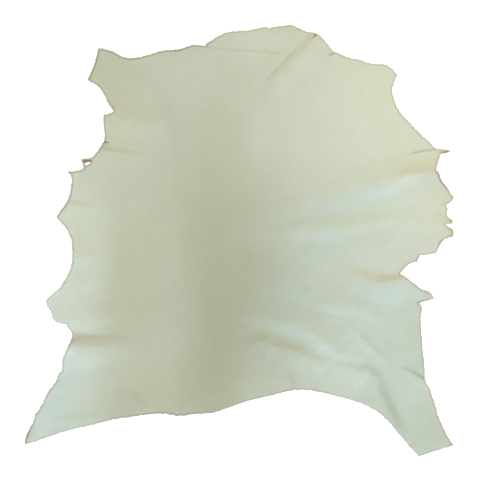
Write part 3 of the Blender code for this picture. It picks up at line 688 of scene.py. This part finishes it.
def buildSkin(spec):
    # The points, the triangles, their sides (0 grain, 1 flesh, 2 cut) and the points'
    # distances d to the raw edge. The grain side is as high as the underside and the
    # thickness, less a squeeze of s (1 - d / b)^2 within the rim's band b.
    draw = np.random.default_rng(spec["seed"])
    edges = [rawEdge(loop, spec, draw) for loop in edgeLoops(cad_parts["hide"])]
    loops, normals = zip(*edges)
    outward = np.vstack(normals)
    rim = np.vstack(loops)
    print("raw edge:", [len(loop) for loop in loops], "points")

    # rings beside the raw edge, where they stay clear of the rest of it
    kept = []
    for inset in spec["rimRings"]:
        ring = rim - outward * inset
        clear = edgeDistance(ring, loops) > inset * spec["ringClear"]
        kept.append(ring[insideLoops(ring, loops) & clear])
    cell = spec["cell"]
    field = lattice(cell, loops)
    near = edgeDistance(field, loops) < spec["edgeReach"]
    crests = [rows for _, _, rows in folds]
    bends = crests + [rows for _, _, rows in creases]
    lines = [*dirtAndShadeLines.values(), *nicks.values()]
    near |= lineDistance(field, *bends) < spec["creaseReach"]
    near |= lineDistance(field, *lines) < spec["lineReach"] + cell
    denser = np.vstack([field[near], halfCells(field[near], cell)])
    thin = lineDistance(denser, *lines) < spec["lineReach"]
    field = np.vstack([field[~near], denser, halfCells(denser[thin], cell / 2)])
    field = field[insideLoops(field, loops)]
    innermost = spec["rimRings"][-1] + spec["ringRoom"]
    field = field[edgeDistance(field, loops) > innermost]
    grain, grainFaces = fillLoops(loops, np.vstack([*kept, field]))

    under = lattice(spec["underCell"], loops)
    folded = lineDistance(under, *crests) < spec["underReach"]
    under = np.vstack([under, halfCells(under[folded], spec["underCell"])])
    under = under[insideLoops(under, loops)]
    under = under[edgeDistance(under, loops) > spec["underRoom"]]
    flesh, fleshFaces = fillLoops(loops, under)

    grainGap = edgeDistance(grain, loops)
    fleshGap = edgeDistance(flesh, loops)
    thinning = spec["thickness"] - spec["rimThickness"]
    squeeze = thinning * (1 - np.minimum(grainGap / spec["rimBand"], 1)) ** 2
    top = leatherHeight(grain, grainGap, spec) + spec["thickness"] - squeeze
    top += ridgeHeight(grain, creases)
    bottom = leatherHeight(flesh, fleshGap, spec)

    # the rim's wall, with a row of points between the two faces' edges
    count = len(rim)
    wall = np.column_stack([rim + outward * spec["rimBulge"],
                            (top[:count] + bottom[:count]) / 2])
    upper = np.column_stack([grain, top])
    lower = np.column_stack([flesh, bottom])
    points = np.vstack([upper, lower, wall])
    lowerStart = len(upper)
    wallStart = lowerStart + len(lower)
    here = np.arange(count)
    after = []
    for loop in loops:
        after.append(np.roll(here[:len(loop)], -1) + sum(map(len, after)))
    after = np.concatenate(after)
    walls = []
    for high, low in ((0, wallStart), (wallStart, lowerStart)):
        walls += [np.column_stack([here + high, here + low, after + low]),
                  np.column_stack([here + high, after + low, after + high])]
    triangles = np.vstack([grainFaces, fleshFaces[:, ::-1] + lowerStart, *walls])
    sides = np.repeat([0, 1, 2], [len(grainFaces), len(fleshFaces), 4 * count])
    allGap = np.concatenate([grainGap, fleshGap, np.zeros(count)])
    print("skin:", len(points), "points,", len(triangles), "triangles")
    return points, triangles, sides, allGap


def meshObject(name, points, triangles):
    # Points in millimetres and triangles as rows of point numbers.
    mesh = bpy.data.meshes.new(name)
    mesh.vertices.add(len(points))
    mesh.vertices.foreach_set("co", (points * mm).ravel())
    mesh.loops.add(triangles.size)
    mesh.loops.foreach_set("vertex_index", triangles.ravel())
    mesh.polygons.add(len(triangles))
    mesh.polygons.foreach_set("loop_start", np.arange(0, triangles.size, 3))
    mesh.polygons.foreach_set("use_smooth", np.ones(len(triangles), bool))
    mesh.update(calc_edges=True)
    mesh.validate()
    thing = bpy.data.objects.new(name, mesh)
    bpy.context.scene.collection.objects.link(thing)
    return thing


points, triangles, sides, gap = buildSkin(skin)
leather = meshObject(skin["name"], points, triangles)
place = points[:, :2]
# one number for each point, which the grain's material reads by its name
layers = {
    "edgeDistance": gap,
    # dye, with painted shade and painted light, from the patches and the thin lines
    "dyeAndShadeDepth": patchSum(place, dyeAndShadePatches) + lineSum(place, dirtAndShadeLines),
    "paintedLightTint": patchSum(place, paintedLightTints),
    "rawnessAndFoldShade": patchSum(place, rawAndFoldShadePatches) + lineSum(place, nicks),
    "edgeDirtAndShade": patchSum(place, dirtyAndShadedEdges),
}
for name, values in layers.items():
    leather.data.attributes.new(name, "FLOAT", "POINT").data.foreach_set("value", values)
leather.data.polygons.foreach_set("material_index", sides)
print("skin made")


def arithmetic(operation, turned=False):
    # A method that puts a wire and a wire or number through a Math node.
    def method(wire, other):
        first, second = (other, wire) if turned else (wire, other)
        return wire.node("Math", {"operation": operation}, {0: first, 1: second})
    return method


class Wire:
    # One output socket. Sums and products of wires add Math nodes, and node() adds any
    # other kind, with its settings first and then its sockets' values or links.
    __add__ = arithmetic("ADD")
    __radd__ = arithmetic("ADD", turned=True)
    __sub__ = arithmetic("SUBTRACT")
    __rsub__ = arithmetic("SUBTRACT", turned=True)
    __mul__ = arithmetic("MULTIPLY")

    def __init__(self, tree, socket=None):
        self.tree = tree
        self.socket = socket

    def node(self, kind, settings=None, inputs=None, output=0):
        made = self.tree.nodes.new("ShaderNode" + kind)
        for name, value in (settings or {}).items():
            setattr(made, name, value)
        for name, value in (inputs or {}).items():
            if isinstance(value, Wire):
                self.tree.links.new(value.socket, made.inputs[name])
            else:
                made.inputs[name].default_value = value
        return Wire(self.tree, made.outputs[output])

    def smooth(self, low, high):
        # 0 below low, 1 above high, and an S-shaped rise between
        return self.node("MapRange", {"interpolation_type": "SMOOTHSTEP"},
                         {"Value": self, "From Min": low, "From Max": high})

    def limit(self):
        return self.node("Clamp", {}, {"Value": self})

    def mix(self, first, second, blend="MIX"):
        # the two colours, mixed by this wire
        return self.node("Mix", {"data_type": "RGBA", "blend_type": blend},
                         {0: self, 6: first, 7: second}, 2)


def startMaterial(name):
    # An empty material, a wire to add nodes with, and the place in metres.
    material = bpy.data.materials.new(name)
    material.use_nodes = True
    tree = material.node_tree
    tree.nodes.remove(tree.nodes["Principled BSDF"])
    wire = Wire(tree)
    place = wire.node("TexCoord", output="Object")
    return material, wire, place


def finishMaterial(material, inputs):
    # The surface shader, with its inputs by name.
    tree = material.node_tree
    shader = Wire(tree).node("BsdfPrincipled", {}, inputs)
    tree.links.new(shader.socket, tree.nodes["Material Output"].inputs["Surface"])
    return material


def attribute(wire, name):
    # One of the layers above.
    return wire.node("Attribute", {"attribute_name": name}, output="Fac")


def noise(wire, place, length, detail=3, rough=0.5):
    # Cloudy noise from 0 to 1, whose blobs are about this length in millimetres.
    return wire.node("TexNoise", {}, {"Vector": place, "Scale": 1000 / length,
                                      "Detail": detail, "Roughness": rough})


def bump(wire, height, amount):
    # A bump by its strength and its depth in millimetres.
    strength, depth = amount
    return wire.node("Bump", {}, {"Strength": strength, "Distance": depth * mm, "Height": height})


def stretch(wire, place, scale):
    # The place times a scale, which draws a noise out along an axis where it is small.
    return wire.node("VectorMath", {"operation": "MULTIPLY"}, {0: place, 1: scale})


grainFinish = {
    "sage": (0.546, 0.584, 0.456, 1),
    "olive": (0.381, 0.384, 0.250, 1),  # where the dye is deepest and the painted shade darkest
    "oliveDepth": 1.5,
    "pale": (0.694, 0.773, 0.680, 1),
    "cool": (0.91, 0.96, 1.0, 1),  # painted light tints, cool and cream, multiplied in
    "cream": (1.0, 0.975, 0.90, 1),
    "dyeBase": -0.15,
    "rawAndFoldShadeTan": (0.48, 0.37, 0.24, 1),
    "rawBrown": (0.16, 0.13, 0.09, 1),
    "rimLine": (0.345, 0.27, 0.225, 1),
    "rimBlush": (0.70, 0.60, 0.45, 1),
    # unevenness: the size of its blobs, and how much dye it adds or takes
    "cloud": (45, 0.26),
    "mottle": (7, 0.3),
    "strain": (14, 0.13),  # drawn out along the skin
    "fray": (4, 1.8),  # the rim's: the size of its blobs, and how far it moves the line
    # the rim's blush: patches' size, strength, where it fades, and the noise that bares it
    "blush": (38, 0.4, (1.0, 5.5), (0.45, 0.62)),
    "line": (0.36, (-0.3, 1.3), (1.9, 4.2)),  # its strength, and where it rises and falls
    "lineDirtAndShade": (0.5, 0.5),  # what the dirt and painted shade add to its strength, and how far in they move it
    "roughness": 0.46,
    "mottleRough": 0.16,  # what the mottle and rawness add to it
    "rawRough": 0.3,
    # relief: size and share
    "pebbles": (1.1, 0.6),
    "pores": (2.3, 0.5),
    "poreRim": (0.02, 0.16),
    "dimples": (3.5, 0.8),
    "bump": (0.3, 0.2),
}


def grainMaterial(spec):
    # Sage to olive or pale by the depth of dye and painted shade, times a painted light tint, then tan and
    # brown where raw, with tan also as a fold's painted shade.
    material, wire, place = startMaterial("sageGrain")
    edge = attribute(wire, "edgeDistance")
    cool = attribute(wire, "paintedLightTint")
    rawAndFoldShade = attribute(wire, "rawnessAndFoldShade")
    cloudSize, cloudDye = spec["cloud"]
    mottleSize, mottleDye = spec["mottle"]
    strainSize, strainDye = spec["strain"]
    mottle = noise(wire, place, mottleSize)
    strain = noise(wire, stretch(wire, place, (1, 0.2, 1)), strainSize)
    depth = attribute(wire, "dyeAndShadeDepth") + spec["dyeBase"]
    depth = depth + (noise(wire, place, cloudSize) - 0.5) * cloudDye
    depth = depth + (mottle - 0.5) * mottleDye + (strain - 0.5) * strainDye
    # olive where dye and painted shade are deep, pale below zero, where the dye is paler and light is
    # painted
    colour = (depth * (1 / spec["oliveDepth"])).limit().mix(spec["sage"], spec["olive"])
    colour = (0 - depth).limit().mix(colour, spec["pale"])
    # painted light: the cool tint where the painted light layer is above zero, the cream tint where it is
    # below
    colour = cool.limit().mix(colour, spec["cool"], "MULTIPLY")
    colour = (0 - cool).limit().mix(colour, spec["cream"], "MULTIPLY")

    # the raw edge: a patchy blush, then a thin darker line
    fraySize, fray = spec["fray"]
    uneven = noise(wire, place, fraySize)
    size, strength, fade, bared = spec["blush"]
    blush = (1 - edge.smooth(*fade)) * noise(wire, place, size).smooth(*bared)
    colour = (blush * strength).mix(colour, spec["rimBlush"])
    # dirt and painted shade along the edge, which darken its line and move it in
    dirtAndShade = attribute(wire, "edgeDirtAndShade")
    strength, rise, fall = spec["line"]
    dirtAndShadeStrength, dirtAndShadeShift = spec["lineDirtAndShade"]
    inset = edge + (uneven - 0.5) * fray - dirtAndShade * dirtAndShadeShift
    line = inset.smooth(*rise) * (1 - inset.smooth(*fall))
    strength = line * (strength + dirtAndShade * dirtAndShadeStrength)
    colour = strength.limit().mix(colour, spec["rimLine"])
    # tan where raw and where the fold's shade is painted, dark brown where rawer
    colour = (rawAndFoldShade + (uneven - 0.5) * rawAndFoldShade).limit().mix(colour, spec["rawAndFoldShadeTan"])
    colour = (rawAndFoldShade - 1).limit().mix(colour, spec["rawBrown"])

    size, pebbleShare = spec["pebbles"]
    pebbles = wire.node("TexVoronoi", {"feature": "SMOOTH_F1"},
                        {"Vector": place, "Scale": 1000 / size, "Smoothness": 0.6})
    size, poreShare = spec["pores"]
    pores = wire.node("TexVoronoi", {}, {"Vector": place, "Scale": 1000 / size})
    relief = pebbles * pebbleShare + pores.smooth(*spec["poreRim"]) * poreShare
    size, dimpleShare = spec["dimples"]
    relief = relief + noise(wire, place, size) * dimpleShare
    normal = bump(wire, relief, spec["bump"])
    rough = spec["roughness"] + (mottle - 0.5) * spec["mottleRough"]
    rough = rough + rawAndFoldShade.limit() * spec["rawRough"]
    return finishMaterial(material, {"Base Color": colour, "Roughness": rough, "Normal": normal})


# short fibres that lie in soft strokes
fleshFinish = {
    "name": "suedeFlesh",
    "light": (0.50, 0.45, 0.34, 1),
    "dark": (0.36, 0.31, 0.22, 1),
    "patches": (24, (1, 0.45, 1), 0.7),  # size, stretch and share in the colour
    "fibres": (1.2, (1, 1, 1), 0.5),
    "darker": 0.1,
    "roughness": 0.88,
    "bump": (0.5, 0.4),
}

# layered fibres of the knife's edge, darker in places
cutFinish = {
    "name": "cutEdge",
    "light": (0.37, 0.335, 0.265, 1),
    "dark": (0.18, 0.155, 0.115, 1),
    "patches": (12, (1, 1, 1), 0.9),
    "fibres": (1.6, (1, 1, 4), 0.6),
    "darker": 0.3,
    "roughness": 0.82,
    "bump": (0.6, 0.4),
}


def fibreMaterial(spec):
    # From dark to light by the shares of patches and fibres, less the darkening.
    material, wire, place = startMaterial(spec["name"])
    size, scale, patchShare = spec["patches"]
    patches = noise(wire, stretch(wire, place, scale), size)
    size, scale, fibreShare = spec["fibres"]
    fibres = noise(wire, stretch(wire, place, scale), size, detail=4, rough=0.7)
    shade = (patches * patchShare + fibres * fibreShare - spec["darker"]).limit()
    normal = bump(wire, fibres, spec["bump"])
    return finishMaterial(material, {
        "Base Color": shade.mix(spec["dark"], spec["light"]),
        "Roughness": spec["roughness"], "Normal": normal,
    })


# in the order of the faces' numbers: grain side, flesh side, raw edge
for made in (grainMaterial(grainFinish), fibreMaterial(fleshFinish), fibreMaterial(cutFinish)):
    leather.data.materials.append(made)
print("materials made")

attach(leather, "root")
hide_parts("hide")


studio = {
    "floorSize": (14000, 14000, 0),
    "floorDepth": (0, 0, 0.3),  # how far it lies below the skin
    "floorColour": (0.7, 0.7, 0.7, 1),
    "floorGlow": 0.8,  # keeps the paper white
    "ambient": 0.57,
    "ambientColour": (1.0, 0.92, 0.82, 1),
    "camera": (19.5, -13.95, 2200),
    "viewWidth": 894.5,
}

square = np.array([[-1, -1, 0], [1, -1, 0], [1, 1, 0], [-1, 1, 0]]) / 2
floor = meshObject("studioFloor", square * studio["floorSize"] - studio["floorDepth"],
                   np.array([[0, 1, 2], [0, 2, 3]]))
paper, _, _ = startMaterial("studioPaper")
floor.data.materials.append(finishMaterial(paper, {
    "Base Color": studio["floorColour"], "Roughness": 0.8,
    "Emission Color": (1, 1, 1, 1), "Emission Strength": studio["floorGlow"],
}))

scene = bpy.context.scene
scene.view_settings.view_transform = "Standard"
air = bpy.data.worlds.new("studioAir")
air.use_nodes = True
scene.world = air
background = air.node_tree.nodes["Background"].inputs
background["Color"].default_value = studio["ambientColour"]
background["Strength"].default_value = studio["ambient"]

lamps = [
    # name, place, size, power, colour
    ("coolWindow", (0.2, -2.6, 2.0), 1.6, 86, (0.62, 0.78, 1.0)),
    ("warmLamp", (0.95, 0.95, 0.55), 0.5, 6.6, (1.0, 0.72, 0.25)),
]
for name, spot, size, power, colour in lamps:
    light = bpy.data.lights.new(name, "AREA")
    light.shape = "SQUARE"
    light.size = size
    light.energy = power
    light.color = colour
    lamp = bpy.data.objects.new(name, light)
    lamp.location = spot
    lamp.rotation_euler = (-Vector(spot)).to_track_quat("-Z", "Y").to_euler()
    lamp.visible_camera = False
    scene.collection.objects.link(lamp)

view = bpy.data.cameras.new("viewFromAbove")
view.sensor_width = 36
view.lens = view.sensor_width * studio["camera"][2] / studio["viewWidth"]
camera = bpy.data.objects.new("viewFromAbove", view)
camera.location = np.array(studio["camera"]) * mm
scene.collection.objects.link(camera)
scene.camera = camera
print("studio ready")
